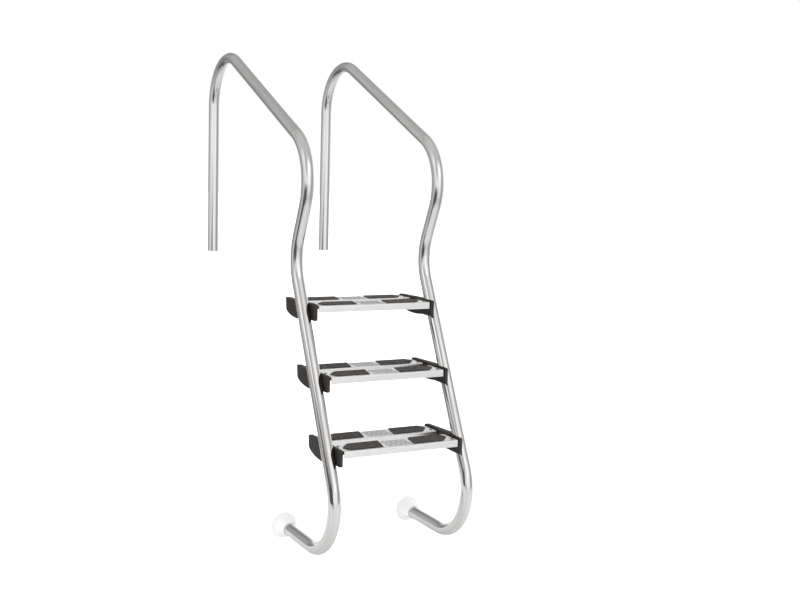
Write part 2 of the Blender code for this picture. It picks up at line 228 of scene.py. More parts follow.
def spaced(pieces, straight_step, arc_step):
    """Distances along a line, at most these steps apart, with every piece's ends among them."""
    marks, start = [0.0], 0.0
    for _, _, _, curvature, length in pieces:
        step = straight_step if curvature == 0 else arc_step
        count = max(1, int(np.ceil(length / step)))
        marks.extend(start + length * np.arange(1, count + 1) / count)
        start += length
    return np.array(marks)


def eased(low, high, count):
    """Numbers from low to high that crowd towards both ends as half a cosine wave does."""
    return low + (high - low) * (1 - np.cos(np.linspace(0, pi, count))) / 2


def revolved(profile, steps, axis_start, axis, reference):
    """Points turned about an axis: profile is (radius, distance along the axis) rows.

    Each point is the axis point plus radius times (cos a, sin a) in the plane across the axis.
    """
    profile = np.array(profile, float)
    axis = np.array(axis, float)
    side = np.array(reference, float)
    other = np.cross(axis, side)
    turn = np.arange(steps) * 2 * pi / steps
    ring = np.cos(turn)[:, None] * side + np.sin(turn)[:, None] * other
    radius, height = profile[:, 0], profile[:, 1]
    return np.array(axis_start) + height[:, None, None] * axis + radius[:, None, None] * ring[None]


# ---------------------------------------------------------------- shader maths

class Value:
    """A number socket. Python arithmetic on it adds Math nodes."""

    def __init__(self, finish, socket):
        self.finish, self.socket = finish, socket

    def math(self, operation, first, second):
        settings = {"operation": operation}
        return self.finish.node("ShaderNodeMath", settings, {0: first, 1: second})

    def __add__(self, other):
        return self.math("ADD", self, other)

    def __mul__(self, other):
        return self.math("MULTIPLY", self, other)

    def __sub__(self, other):
        return self.math("SUBTRACT", self, other)

    def __rsub__(self, other):
        return self.math("SUBTRACT", other, self)

    def __truediv__(self, other):
        return self.math("DIVIDE", self, other)

    def __pow__(self, other):
        return self.math("POWER", self, other)

    __radd__ = __add__
    __rmul__ = __mul__

    def between(self, low, high):
        """0 below low, 1 above high, and a smooth rise between."""
        settings = {"interpolation_type": "SMOOTHSTEP", "clamp": True}
        return self.finish.node("ShaderNodeMapRange", settings, {0: self, 1: low, 2: high})


class Finish:
    """A material or world under construction."""

    def __init__(self, owner):
        owner.use_nodes = True
        self.owner, self.tree = owner, owner.node_tree

    def node(self, kind, settings=None, inputs=None, output=0):
        """Adds one node: its settings first, then the values or links of its sockets."""
        made = self.tree.nodes.new(kind)
        for key, value in (settings or {}).items():
            if key == "stops":
                ramp = made.color_ramp
                while len(ramp.elements) < len(value):
                    ramp.elements.new(0.5)
                for element, (place, colour) in zip(ramp.elements, value):
                    element.position, element.color = place, (*colour, 1)
            else:
                setattr(made, key, value)
        for key, value in (inputs or {}).items():
            self.join(made.inputs[key], value)
        return Value(self, made.outputs[output])

    def join(self, socket, value):
        if isinstance(value, Value):
            self.tree.links.new(value.socket, socket)
        elif isinstance(value, tuple) and len(value) == 3 and socket.type == "RGBA":
            socket.default_value = (*value, 1)
        else:
            socket.default_value = value

    def place(self, scale=(1, 1, 1), layer=None):
        """Object coordinates, or a piece's own layer, stretched by a scale in each direction."""
        if layer:
            where = self.node("ShaderNodeAttribute", {"attribute_name": layer}, output=1)
        else:
            where = self.node("ShaderNodeTexCoord", output=3)
        return self.node("ShaderNodeMapping", {}, {"Vector": where, "Scale": scale})

    def parts(self, where):
        """The three numbers of a vector."""
        split = self.node("ShaderNodeSeparateXYZ", {}, {0: where}).socket.node
        return [Value(self, socket) for socket in split.outputs]

    def noise(self, where, scale, detail=3.0, rough=0.55):
        inputs = {"Vector": where, "Scale": scale, "Detail": detail, "Roughness": rough}
        return self.node("ShaderNodeTexNoise", {}, inputs)

    def cells(self, where, scale, feature="F1"):
        inputs = {"Vector": where, "Scale": scale}
        return self.node("ShaderNodeTexVoronoi", {"feature": feature}, inputs)

    def blend(self, share, first, second):
        """A colour between two colours."""
        inputs = {0: share, 6: first, 7: second}
        made = self.node("ShaderNodeMix", {"data_type": "RGBA"}, inputs)
        return Value(self, made.socket.node.outputs[2])

    def bump(self, height, strength, distance):
        inputs = {"Height": height, "Strength": strength, "Distance": distance}
        return self.node("ShaderNodeBump", {}, inputs)

    def shade(self, **sockets):
        """Sets the Principled shader's sockets, named with underscores for spaces."""
        shader = self.tree.nodes["Principled BSDF"]
        for key, value in sockets.items():
            self.join(shader.inputs[key.replace("_", " ")], value)
        return self.owner


    def fade(self, share, **sockets):
        """The same, with the surface clear by this share."""
        self.shade(**sockets)
        clear = self.node("ShaderNodeBsdfTransparent")
        solid = Value(self, self.tree.nodes["Principled BSDF"].outputs[0])
        mixed = self.node("ShaderNodeMixShader", {}, {0: share, 1: solid, 2: clear})
        self.join(self.tree.nodes["Material Output"].inputs["Surface"], mixed)


def finish(name):
    return Finish(bpy.data.materials.new(name))


def polished_rail():
    """Mirror-polished tube: drawn lines along its length, faint haze and dried water spots."""
    f = finish("polished_rail_steel")
    lines = f.noise(f.place((260, 260, 3.5), "unbent"), 1.0, 4.0)
    haze = f.noise(f.place((14, 14, 3), "unbent"), 1.0, 3.0)
    spots = f.cells(f.place(), 260.0).between(0.34, 0.22)
    patches = f.noise(f.place(), 9.0, 2.0).between(0.56, 0.68)
    dried = spots * patches
    tone = f.blend(haze.between(0.3, 0.75), (0.83, 0.817, 0.807), (0.77, 0.758, 0.748))
    tone = f.blend(lines.between(0.46, 0.66) * 0.55, tone, (0.56, 0.548, 0.54))
    tone = f.blend(dried * 0.10, tone, (0.62, 0.61, 0.59))
    rough = 0.025 + lines * 0.025 + haze.between(0.45, 0.8) * 0.035 + dried * 0.03
    return f.shade(
        Base_Color=tone,
        Metallic=1.0,
        Roughness=rough,
        Normal=f.bump(lines, 0.012, 0.0002),
    )


def satin_plank():
    """Pressed sheet, brushed across the ladder, with painted shade round raised rings and screws."""
    f = finish("satin_plank_steel")
    brushing = f.noise(f.place((9, 900, 900)), 1.0, 5.0, 0.6)
    broad = f.noise(f.place((2, 60, 60)), 1.0, 3.0)
    smudge = f.noise(f.place(), 22.0, 3.0)
    tone = f.blend(brushing, (0.84, 0.84, 0.835), (0.97, 0.97, 0.965))
    tone = f.blend(smudge.between(0.52, 0.78) * 0.35, tone, (0.76, 0.755, 0.74))
    # Painted shade: a greyer, rougher tone round the foot of the raised rings and round the screws,
    # a little uneven.
    hollow = f.parts(f.place(layer="hollow"))[0]
    pressed_shade_amount = hollow * (0.75 + f.noise(f.place(), 130.0, 3.0).between(0.35, 0.65) * 0.25)
    tone = f.blend(pressed_shade_amount, tone, (0.40, 0.395, 0.39))
    rough = 0.20 + brushing * 0.12 + broad * 0.05 + smudge.between(0.5, 0.8) * 0.07 + pressed_shade_amount * 0.2
    return f.shade(
        Base_Color=tone,
        Metallic=1.0,
        Roughness=rough,
        Normal=f.bump(brushing, 0.06, 0.0003),
    )


def machined_steel():
    """Plain machined fastener steel: fine turning marks and a little dullness in patches."""
    f = finish("machined_fastener_steel")
    marks = f.noise(f.place((1500, 1500, 1500)), 1.0, 2.0)
    dull = f.noise(f.place(), 180.0, 3.0)
    tone = f.blend(dull.between(0.35, 0.75), (0.34, 0.33, 0.32), (0.20, 0.19, 0.185))
    return f.shade(
        Base_Color=tone,
        Metallic=1.0,
        Roughness=0.24 + dull * 0.22,
        Normal=f.bump(marks, 0.10, 0.0002),
    )


def moulded_black():
    """Black moulded plastic: a fine spark-eroded grain, faint specks, and a greyer rubbed rim."""
    f = finish("moulded_cap_plastic")
    grain = f.noise(f.place(), 1500.0, 3.0, 0.6)
    cloud = f.noise(f.place(), 28.0, 3.0)
    rubbed = f.parts(f.place(layer="edge"))[0] * f.noise(f.place(), 160.0, 4.0).between(0.40, 0.62)
    speck = f.noise(f.place(), 170.0, 3.0, 0.7).between(0.46, 0.64)
    tone = f.blend(cloud.between(0.35, 0.7), (0.0195, 0.0164, 0.0145), (0.0245, 0.0208, 0.0185))
    tone = f.blend(speck * 0.38, tone, (0.045, 0.0388, 0.0352))
    tone = f.blend(rubbed * 0.30, tone, (0.068, 0.061, 0.056))
    rough = 0.46 + cloud * 0.12 + grain * 0.06 - rubbed * 0.06
    return f.shade(
        Base_Color=tone,
        Roughness=rough,
        Specular_IOR_Level=0.15,
        Normal=f.bump(grain + speck * 0.6, 0.30, 0.0003),
    )


def pad_rubber():
    """Black rubber with a close pimpled tread, dusty in patches, with painted shade in sunken
    patches.
    """
    f = finish("textured_pad_rubber")
    cells = f.cells(f.place(), 420.0, "SMOOTH_F1")
    shaded_dips = f.noise(f.place((1, 0.62, 1)), 185.0, 2.0, 0.6).between(0.41, 0.56)
    pimple = cells.between(0.55, 0.15)
    fine = f.noise(f.place(), 2400.0, 2.0)
    dust = f.noise(f.place(), 34.0, 4.0).between(0.42, 0.72)
    edge = f.parts(f.place(layer="edge"))[0]
    tone = f.blend(pimple, (0.092, 0.080, 0.073), (0.052, 0.0445, 0.040))
    tone = f.blend(dust * 0.35, tone, (0.115, 0.102, 0.094))
    tone = f.blend(edge * 0.3, tone, (0.050, 0.044, 0.040))
    # Painted shade: the patches that the bump sinks are coloured near black.
    tone = f.blend(shaded_dips * 0.90, tone, (0.0095, 0.0076, 0.0066))
    return f.shade(
        Base_Color=tone,
        Roughness=0.62 + dust * 0.16,
        Specular_IOR_Level=0.22,
        Normal=f.bump(pimple + fine * 0.15 - shaded_dips * 1.2, 0.55, 0.0005),
    )


def bumper_white():
    """White moulded plastic, smooth with a faint flow mottle and a little scuffing on its rim."""
    f = finish("moulded_bumper_plastic")
    mottle = f.noise(f.place(), 70.0, 3.0)
    grain = f.noise(f.place(), 1100.0, 2.0)
    scuff = f.parts(f.place(layer="edge"))[0] * f.noise(f.place(), 210.0, 4.0).between(0.5, 0.7)
    tone = f.blend(mottle, (0.745, 0.745, 0.74), (0.71, 0.71, 0.702))
    tone = f.blend(scuff * 0.3, tone, (0.62, 0.61, 0.59))
    return f.shade(
        Base_Color=tone,
        Roughness=0.34 + mottle * 0.10 + scuff * 0.15,
        Normal=f.bump(grain, 0.06, 0.0002),
    )


RAIL_FINISH = polished_rail()
PLANK_FINISH = satin_plank()
FASTENER_FINISH = machined_steel()
CAP_FINISH = moulded_black()
PAD_FINISH = pad_rubber()
BUMPER_FINISH = bumper_white()


# ---------------------------------------------------------------- rails

def rail_line():
    ends = (0, len(RAIL_CORNERS) - 1)
    return line_pieces(
        [(a, b, 0 if i in ends else BEND_RADIUS) for i, (a, b) in enumerate(RAIL_CORNERS)]
    )


def make_rail(side_name, side):
    """A bent tube, open at both ends.

    A circle of the tube's radius is carried along the bent line: out along its outer skin, in over
    each softened end, and back along its bore. A point is the line's point plus radius times cos a
    across the ladder and radius times sin a square to the line. The layer keeps where the point
    would be if the tube were straight.
    """
    line = rail_line()
    marks = spaced(line, 0.03, BEND_RADIUS * radians(2.2))
    total, soft, bore = marks[-1], 0.0004, TUBE_RADIUS - TUBE_WALL
    inside = marks[(marks > soft) & (marks < total - soft)]
    out = np.concatenate([[soft], inside, [total - soft]])
    distance = np.concatenate([out, [total, total], out[::-1], [0, 0]])
    radius = np.concatenate(
        [
            np.full(len(out), TUBE_RADIUS),
            [TUBE_RADIUS - soft, bore + soft],
            np.full(len(out), bore),
            [bore + soft, TUBE_RADIUS - soft],
        ]
    )
    centre, heading = along(line, distance)
    turn = np.arange(TUBE_STEPS) * 2 * pi / TUBE_STEPS
    radius, heading = radius[:, None], heading[:, None]
    x = side * RAIL_X + radius * np.cos(turn)
    y = centre[:, :1] - radius * np.sin(turn) * np.sin(heading)
    z = centre[:, 1:] + radius * np.sin(turn) * np.cos(heading)
    unbent = stack(radius * np.cos(turn), radius * np.sin(turn), distance[:, None])
    surface(
        [(stack(x, y, z), True, True)],
        f"{side_name}_bent_rail",
        RAIL_FINISH,
        f"{side_name}_rail",
        layer=("unbent", [unbent]),
    )


# ---------------------------------------------------------------- planks

def pressed_height(x, depth, screws):
    """How far the sheet's top is pushed up, and how much painted shade it gets.

    The top has rows of raised oval rings, and a dimple at each screw. A ring's height is full where
    the point's distance from the oval's line is small and falls to nothing over a short way, that
    distance being |root(u squared + v squared) - 1| times the oval's mean half width, where u and v
    are the point's place measured in half widths of the oval. Painted shade lies along a ring's foot
    and over each screw's seat.
    """
    height = np.zeros(np.broadcast(x, depth).shape)
    hollow = np.zeros(height.shape)
    for row in range(OVAL_ROWS):
        for column in range(OVAL_COLUMNS):
            u = (x - (column - (OVAL_COLUMNS - 1) / 2) * OVAL_PITCH_X) / OVAL_HALF_X
            v = (depth - (OVAL_FIRST_ROW + row * OVAL_PITCH_Y)) / OVAL_HALF_Y
            away = np.abs(np.hypot(u, v) - 1) * OVAL_MEAN_HALF
            height = np.maximum(height, OVAL_RISE * (1 - soft_step(away, 0.0004, 0.0031)))
            foot = soft_step(away, 0.0008, 0.0022) * (1 - soft_step(away, 0.0026, 0.0042))
            hollow = np.maximum(hollow, foot)
    for screw_x, screw_depth in screws:
        away = np.hypot(x - screw_x, depth - screw_depth)
        height = height - DIMPLE_DROP * (1 - soft_step(away, 0.0048, 0.0085))
        # Painted shade over each screw's seat.
        hollow = np.maximum(hollow, 1 - soft_step(away, 0.0052, 0.0066))
    return height, hollow


def make_plank(tread, row):
    """A pressed plank: one section carried across the ladder, bent down at the front and the back.

    The section is a line with rounded corners, and the inner face is the same line moved in by the
    sheet's thickness. Only the flat top is pushed up by the pressed pattern.
    """
    node = f"{tread}_{row}_plank"
    low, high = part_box(node)
    depth = high.y - low.y
    section = line_pieces(
        [(0, -FRONT_LIP), (0, 0, SHEET_BEND), (depth, 0, SHEET_BEND), (depth, -BACK_LIP)]
    )
    marks = spaced(section, 0.0012, SHEET_BEND * radians(11))
    points, heading = along(section, marks)
    normal = np.stack([-np.sin(heading), np.cos(heading)], -1)
    screws = []
    for side_name, _ in SIDES:
        a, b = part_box(f"{tread}_{row}_{side_name}_screw")
        screws.append(((a.x + b.x) / 2, (a.y + b.y) / 2 - low.y))
    fine = [np.linspace(-EMBOSSED_HALF, EMBOSSED_HALF, 97)]
    fine += [x + np.linspace(-0.009, 0.009, 19) for x, _ in screws]
    coarse = np.linspace(-0.19, 0.19, 27)
    x = np.unique(np.round(np.concatenate([[low.x, high.x], *fine, coarse]), 6))
    x = x[(x >= low.x) & (x <= high.x)]
    from_edge = np.minimum(points[:, 0], depth - points[:, 0])
    flat = soft_step(from_edge, 0.005, 0.008) * (points[:, 1] > -0.0005)
    push, hollow = pressed_height(x[:, None], points[None, :, 0], screws)
    push, hollow = push * flat, hollow * flat
    sheets, skins, kept = [], [], []
    for inward in (0.0, SHEET):
        y = points[None, :, 0] - normal[None, :, 0] * inward
        z = points[None, :, 1] - normal[None, :, 1] * inward + push
        skins.append(stack(x[:, None], low.y + y, high.z + z))
    loop = np.concatenate([skins[0], skins[1][:, ::-1]], 1)
    sheets.append((loop, False, True))
    # The layer carries the painted shade on the outer skin only.
    kept.append(stack(np.concatenate([hollow, 0 * hollow], 1), 0, 0))
    for end in (0, -1):
        sheets.append((np.stack([skins[0][end], skins[1][end]]), False, False))
        kept.append(np.zeros_like(sheets[-1][0]))
    surface(
        sheets,
        f"{tread}_{row}_pressed_plank",
        PLANK_FINISH,
        node,
        sharp=50,
        layer=("hollow", kept),
    )


# ---------------------------------------------------------------- pads

def outline_points(corners, straight_step, arc_step):
    """A closed outline through (a, b, radius) corners, and the outward normal at each point."""
    first = tuple((np.array(corners[-1][:2]) + np.array(corners[0][:2])) / 2)
    line = line_pieces([first, *corners, first])
    marks = spaced(line, straight_step, arc_step)[:-1]
    points, heading = along(line, marks)
    return points, np.stack([np.sin(heading), -np.cos(heading)], -1)


def make_pad(tread, row, side_name, side):
    """A moulded pad: its outline carried up over a softened edge, down into a shallow field.

    Each ring is the outline moved in along its normals by an inset, at a height that follows the
    inset. Inside the border the rings shrink towards the middle of the pad.
    """
    node = f"{tread}_{row}_{side_name}_pad"
    low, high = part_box(node)
    half = (high.y - low.y) / 2
    corners = [
        (PAD_INNER_X - PAD_LEAN, -half, 0.003),
        (PAD_NEAR_SHOULDER, -half, 0.012),
        (PAD_TIP_X, 0.002, 0.008),
        (PAD_FAR_SHOULDER, half, 0.010),
        (PAD_INNER_X + PAD_LEAN, half, 0.003),
    ]
    edge, normal = outline_points(corners, 0.0035, 0.0009)
    top = high.z - low.z
    soft, border, field = 0.0009, 0.0026, top - 0.0004
    rings = [(0.0, 0.0), (0.0, top - soft)]
    rings += [
        (soft * (1 - cos(a)), top - soft * (1 - sin(a))) for a in np.linspace(0.3, pi / 2, 5)
    ]
    rings += [(0.0020, top), (border, field)]
    middle = np.array([(PAD_INNER_X + PAD_TIP_X) / 2, 0.0])
    layers, worn = [], []
    for inset, height in rings:
        flat = edge - normal * inset
        layers.append(stack(flat[:, 0], flat[:, 1], height))
        worn.append(1.0 if 0.0002 < inset < 0.0024 else 0.2)
    inner = edge - normal * border
    for share in (0.9, 0.7, 0.45, 0.2, 0.0):
        flat = middle + (inner - middle) * share
        layers.append(stack(flat[:, 0], flat[:, 1], field))
        worn.append(0.0)
    layers.insert(0, stack(*middle, np.zeros(len(edge))))
    worn.insert(0, 0.0)
    grid = np.stack(layers)
    grid[..., :2] *= side
    grid += np.array([0, (low.y + high.y) / 2, low.z])
    amount = np.array(worn)[:, None]
    surface(
        [(grid, False, True)],
        f"{tread}_{row}_{side_name}_moulded_pad",
        PAD_FINISH,
        node,
        sharp=60,
        layer=("edge", [stack(amount + np.zeros(len(edge)), 0, 0)]),
    )


# ---------------------------------------------------------------- caps

def rounded_off(distance, radius):
    """How far a corner of this radius draws in: radius less root of (radius squared less (radius
    less distance) squared) within a radius of the edge, and nothing beyond."""
    return radius - np.sqrt(np.maximum(radius**2 - np.maximum(radius - distance, 0) ** 2, 0))


def quarter(value, start, end, low, high):
    """A quarter of an ellipse that leaves low level at start and reaches high upright at end."""
    t = np.clip((value - start) / (end - start), 0, 1)
    return low + (high - low) * (1 - np.sqrt(1 - t * t))


def make_cap(tread, side_name, side):
    """A moulded end cap: an inner face, an outer face, the softened rim and a shelf for each plank.

    A point's place in the cap's side view goes from its lower edge to its upper edge at each depth.
    The outer face stands out by a thickness that steps up behind the tube and tapers to the back,
    and is scooped by the tube: rail x less the root of (radius squared less distance from the axis
    squared). Near the rim both faces draw in as a rounded corner does.
    """
    node = f"{tread}_{side_name}_cap"
    low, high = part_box(node)
    nose, top = low.y, high.z - CAP_RIM
    way = np.array(RAIL_CORNERS[LOWER_BEND]) - np.array(RAIL_CORNERS[WAIST])
    way = way / np.linalg.norm(way)
    lean = way[0] / way[1]
    axis_point = np.array(RAIL_CORNERS[WAIST])

    height = eased(0, 1, 44)[None, :]
    depth_line = np.unique(
        np.round(
            np.concatenate(
                [
                    eased(0, 0.012, 12),
                    np.linspace(0.012, 0.088, 96),
                    np.linspace(0.088, CAP_DEPTH - 0.012, 40),
                    CAP_DEPTH - eased(0, 0.012, 12),
                ]
            ),
            6,
        )
    )[:, None]

    def top_edge(y):
        front = rounded_off(y, CAP_CORNERS["top"])
        return CAP_RIM - front - rounded_off(CAP_DEPTH - y, CAP_CORNERS["rear"])

    def low_edge(y, height, turn_depth):
        dip = (CAP_FRONT_HEIGHT - height) * soft_step(y, 0.045, turn_depth) - CAP_FRONT_HEIGHT
        edge = quarter(y, turn_depth, CAP_DEPTH, dip, -CAP_BACK_HEIGHT)
        return edge + rounded_off(y, CAP_CORNERS["bottom"])

    sheared = soft_step(depth_line, 0.004, 0.022) * (1 - soft_step(depth_line, 0.150, 0.235))
    z_low, z_top = low_edge(depth_line, CAP_WING_HEIGHT, 0.140), top_edge(depth_line)
    z = z_low + (z_top - z_low) * height
    y = np.clip(depth_line + lean * (z + 0.020) * sheared, 0.0, CAP_DEPTH)
    # The rows lean with the rail, so each point's edges are looked up again at its own depth.
    z_low, z_top = low_edge(y, CAP_WING_HEIGHT, 0.140), top_edge(y)
    z = z_low + (z_top - z_low) * height

    from_axis = (top + z - axis_point[1]) * way[0] - (nose + y - axis_point[0]) * way[1]
    step_up = (CAP_WING_THICK - CAP_FRONT_THICK) * soft_step(from_axis, 0.0, 0.0012)
    taper_start, taper_end = TUBE_RADIUS + 0.008, CAP_DEPTH - 0.010 - TREAD_NOSE
    taper = np.clip((from_axis - taper_start) / (taper_end - taper_start), 0, 1)
    thick = CAP_FRONT_THICK + step_up - (CAP_WING_THICK - CAP_BACK_THICK) * taper
    scoop = RAIL_X - CAP_INNER_X - np.sqrt(
        np.maximum((TUBE_RADIUS + GAP) ** 2 - from_axis**2, 0)
    )
    thick = np.where(np.abs(from_axis) < TUBE_RADIUS + GAP, np.minimum(thick, scoop), thick)

    to_rim = np.minimum.reduce([z - z_low, z_top - z, y, CAP_DEPTH - y])
    draw_in = rounded_off(to_rim, CAP_SOFT)
    outer = thick - draw_in
    plate_low = low_edge(y, CAP_PLATE_HEIGHT, 0.160)
    below_plate = 1 - soft_step(z, plate_low - 0.0012, plate_low + 0.0002)
    inner = np.minimum(draw_in + CAP_PLATE_THICK * below_plate, outer - CAP_SOFT)
    worn = 1 - soft_step(to_rim, 0.0, 0.0030)
    zero = np.zeros_like(worn)

    faces, kept = [], []
    for stand_out in (outer, inner):
        faces.append((stack(side * (CAP_INNER_X + stand_out), nose + y, top + z), False, False))
        kept.append(stack(worn, zero, zero))
    a, b = faces[0][0], faces[1][0]
    for strip in ((a[:, 0], b[:, 0]), (a[:, -1], b[:, -1]), (a[0], b[0]), (a[-1], b[-1])):
        faces.append((np.stack(strip), False, False))
        kept.append(stack(np.ones((2, len(strip[0]))), 0, 0))
    for row in ROWS:
        plank_low, plank_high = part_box(f"{tread}_{row}_plank")
        shelf_top = plank_high.z - SHEET - GAP
        shelf = slab(
            (CAP_INNER_X - SHELF_LENGTH, plank_low.y + 0.006, shelf_top - SHELF_THICK),
            (CAP_INNER_X + 0.004, plank_high.y - 0.006, shelf_top),
            0.001,
        )
        shelf[..., 0] *= side
        faces.append((shelf, False, True))
        kept.append(np.zeros_like(shelf))
    surface(
        faces,
        f"{tread}_{side_name}_moulded_cap",
        CAP_FINISH,
        node,
        sharp=50,
        layer=("edge", kept),
    )


def slab(low, high, soft):
    """A block with softened edges: a rounded rectangle carried up, drawn in near both its ends."""
    low, high = np.array(low, float), np.array(high, float)
    centre, half = (low + high) / 2, (high - low) / 2
    corners = [
        (-half[0], -half[1], soft * 2),
        (half[0], -half[1], soft * 2),
        (half[0], half[1], soft * 2),
        (-half[0], half[1], soft * 2),
    ]
    edge, normal = outline_points(corners, 0.02, 0.0008)
    turns = np.linspace(0, pi / 2, 4)
    rings = [(soft * (1 - sin(a)), -half[2] + soft * (1 - cos(a))) for a in turns]
    rings += [(soft * (1 - cos(a)), half[2] - soft * (1 - sin(a))) for a in turns]
    layers = [stack(0 * edge[:, 0], 0 * edge[:, 1], -half[2])]
    layers += [
        stack(edge[:, 0] - normal[:, 0] * inset, edge[:, 1] - normal[:, 1] * inset, z)
        for inset, z in rings
    ]
    layers.append(stack(0 * edge[:, 0], 0 * edge[:, 1], half[2]))
    return np.stack(layers) + centre


# ---------------------------------------------------------------- bumpers and fasteners

def make_bumper(side_name, side):
    """A flared bumper turned about its tube: a collar, a flare that is a quarter of an ellipse, a
    rim, and a flat face with two shallow rings pressed into it."""
    node = f"{side_name}_wall_bumper"
    low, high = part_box(node)
    face, lip = high.y, low.y
    face_radius, collar = (high.z - low.z) / 2, 0.0248
    tube_end, rim = RAIL_CORNERS[-1][0], 0.004
    flare_end = face - rim
    profile = [(0, face - 0.0008), (0.012, face - 0.0008), (0.0135, face), (0.030, face)]
    profile += [(0.0315, face - 0.0008), (0.036, face - 0.0008), (0.0375, face)]
    profile += [
        (face_radius - 0.0016 * (1 - sin(a)), face - 0.0016 * (1 - cos(a)))
        for a in np.linspace(0, pi / 2, 6)
    ]
    profile += [
        (
            face_radius - 0.0006 - (face_radius - collar - 0.0006) * sin(a),
            flare_end - (flare_end - tube_end) * (1 - cos(a)),
        )
        for a in np.linspace(0, pi / 2, 30)
    ]
    bead = collar + 0.0006
    profile += [(collar, lip + 0.0062), (bead, lip + 0.0056), (bead, lip + 0.0016)]
    profile += [
        (bead - 0.0012 * (1 - cos(a)), lip + 0.0012 * (1 - sin(a)))
        for a in np.linspace(0, pi / 2, 5)
    ]
    profile += [(TUBE_RADIUS + GAP, lip), (TUBE_RADIUS + GAP, tube_end + GAP), (0, tube_end + GAP)]
    axis_start = (side * RAIL_X, 0, RAIL_CORNERS[-1][1])
    grid = revolved(profile, BUMPER_STEPS, axis_start, (0, 1, 0), (1, 0, 0))
    reach = np.array(profile)[:, :1]
    worn = soft_step(reach, face_radius - 0.004, face_radius) + np.zeros(BUMPER_STEPS)
    surface(
        [(grid, False, True)],
        f"{side_name}_flared_bumper",
        BUMPER_FINISH,
        node,
        sharp=32,
        layer=("edge", [stack(worn, 0, 0)]),
    )


def make_screw(tread, row, side_name, index):
    """A pan-head screw with a cross recess.

    Its head's height is a dome less the recess, which is deep where the smaller of the distances to
    the two slots' middle lines is small and the point is near the middle.
    """
    node = f"{tread}_{row}_{side_name}_screw"
    low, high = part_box(node)
    x, y = (low.x + high.x) / 2, (low.y + high.y) / 2
    turn = np.arange(48) * 2 * pi / 48 + index * 0.7
    radius = np.linspace(0, SCREW_HEAD, 22)[:, None]
    share = radius / SCREW_HEAD
    seat = high.z - 0.0025
    dome = 0.0007 + 0.0018 * np.sqrt(np.maximum(1 - share**2, 0))
    across, other = radius * np.cos(turn), radius * np.sin(turn)
    slot_away = np.minimum(np.abs(across), np.abs(other))
    recess = 1 - soft_step(slot_away, 0.00035, 0.00075)
    recess = recess * (1 - soft_step(radius, 0.0019, 0.0026))
    head = stack(x + across, y + other, seat + dome - 0.0010 * recess)
    profile = [(SCREW_HEAD, seat + 0.0007), (SCREW_HEAD, seat), (SCREW_SHANK, seat)]
    profile += [(SCREW_SHANK, low.z + 0.002), (0, low.z)]
    radii = np.array(profile)[:, :1]
    shank = stack(x + radii * np.cos(turn), y + radii * np.sin(turn), np.array(profile)[:, 1:])
    surface(
        [(head, False, True), (shank, False, True)],
        f"{tread}_{row}_{side_name}_crosshead_screw",
        FASTENER_FINISH,
        node,
        sharp=40,
    )


def make_bolt(tread, side_name, side):
    """A hexagon bolt: a head whose radius is the flat's distance over cos of the angle to the
    nearest flat's middle, chamfered by a cone at its crown, and a plain shank."""
    node = f"{tread}_{side_name}_bolt"
    low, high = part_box(node)
    z = (low.z + high.z) / 2
    y = (low.y + high.y) / 2
    crown = low.x if side > 0 else high.x
    seat = crown + side * BOLT_HEAD_HEIGHT
    tip = high.x if side > 0 else low.x
    turn = np.arange(72) * 2 * pi / 72
    flat = BOLT_HEAD * cos(pi / 6)
    hexagon = flat / np.cos((turn + pi / 6) % (pi / 3) - pi / 6)
    rings = [(0.0, 0.0003), (0.6, 0.0003), (0.62, 0.0), (0.88, 0.0)]
    layers = [(flat * share, crown + side * rise) for share, rise in rings]
    drop = (hexagon - flat * 0.94) * 0.5
    layers += [
        (hexagon, crown + side * np.maximum(drop, 0.0002)),
        (hexagon, seat),
        (BOLT_SHANK, seat),
        (BOLT_SHANK, tip - side * 0.0008),
        (BOLT_SHANK - 0.0008, tip),
        (0.0, tip),
    ]
    grid = np.stack([stack(x, y + r * np.cos(turn), z + r * np.sin(turn)) for r, x in layers])
    surface(
        [(grid, False, True)],
        f"{tread}_{side_name}_hexagon_bolt",
        FASTENER_FINISH,
        node,
        sharp=30,
    )


def make_ring(tread, side_name, side, kind, profile_of):
    """A washer or an insert: a closed section turned about the bolt's axis."""
    node = f"{tread}_{side_name}_{kind}"
    low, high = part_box(node)
    start = (low.x if side > 0 else high.x, (low.y + high.y) / 2, (low.z + high.z) / 2)
    profile = profile_of((high.z - low.z) / 2, high.x - low.x)
    grid = revolved(profile, 48, start, (side, 0, 0), (0, 1, 0))
    surface(
        [(grid, True, True)],
        f"{tread}_{side_name}_turned_{kind}",
        FASTENER_FINISH,
        node,
        sharp=30,
    )


def washer_section(reach, length):
    """A plain washer with its outer edges broken."""
    bore, soft = BOLT_SHANK + GAP, 0.0002
    return [
        (reach - soft, 0),
        (reach, soft),
        (reach, length - soft),
        (reach - soft, length),
        (bore, length),
        (bore, 0),
    ]


def insert_section(reach, length):
    """A rivet insert: a plain sleeve with a round bulge behind the tube's wall."""
    bore, sleeve = BOLT_SHANK + GAP, 0.0052
    angles = np.linspace(0, pi, 9)
    bulge = [(sleeve + (reach - sleeve) * sin(a), 0.004 + 0.002 * a / pi) for a in angles]
    return [(sleeve, 0), *bulge, (sleeve, length), (bore, length), (bore, 0)]


for side_name, side in SIDES:
    make_rail(side_name, side)
    make_bumper(side_name, side)
for t, tread in enumerate(TREADS):
    for r, row in enumerate(ROWS):
        make_plank(tread, row)
        for side_name, side in SIDES:
            make_pad(tread, row, side_name, side)
            make_screw(tread, row, side_name, t * 4 + r * 2 + (side + 1) // 2)
    for side_name, side in SIDES:
        make_cap(tread, side_name, side)
        make_bolt(tread, side_name, side)
        make_ring(tread, side_name, side, "washer", washer_section)
        make_ring(tread, side_name, side, "insert", insert_section)


# ---------------------------------------------------------------- camera

CAMERA_AT = Vector((-1.7039, -4.3319, 0.3334))
YAW, PITCH, ROLL = radians(28.36), radians(6.54), radians(1.61)
LENS, SENSOR_WIDTH = 49.12, 36

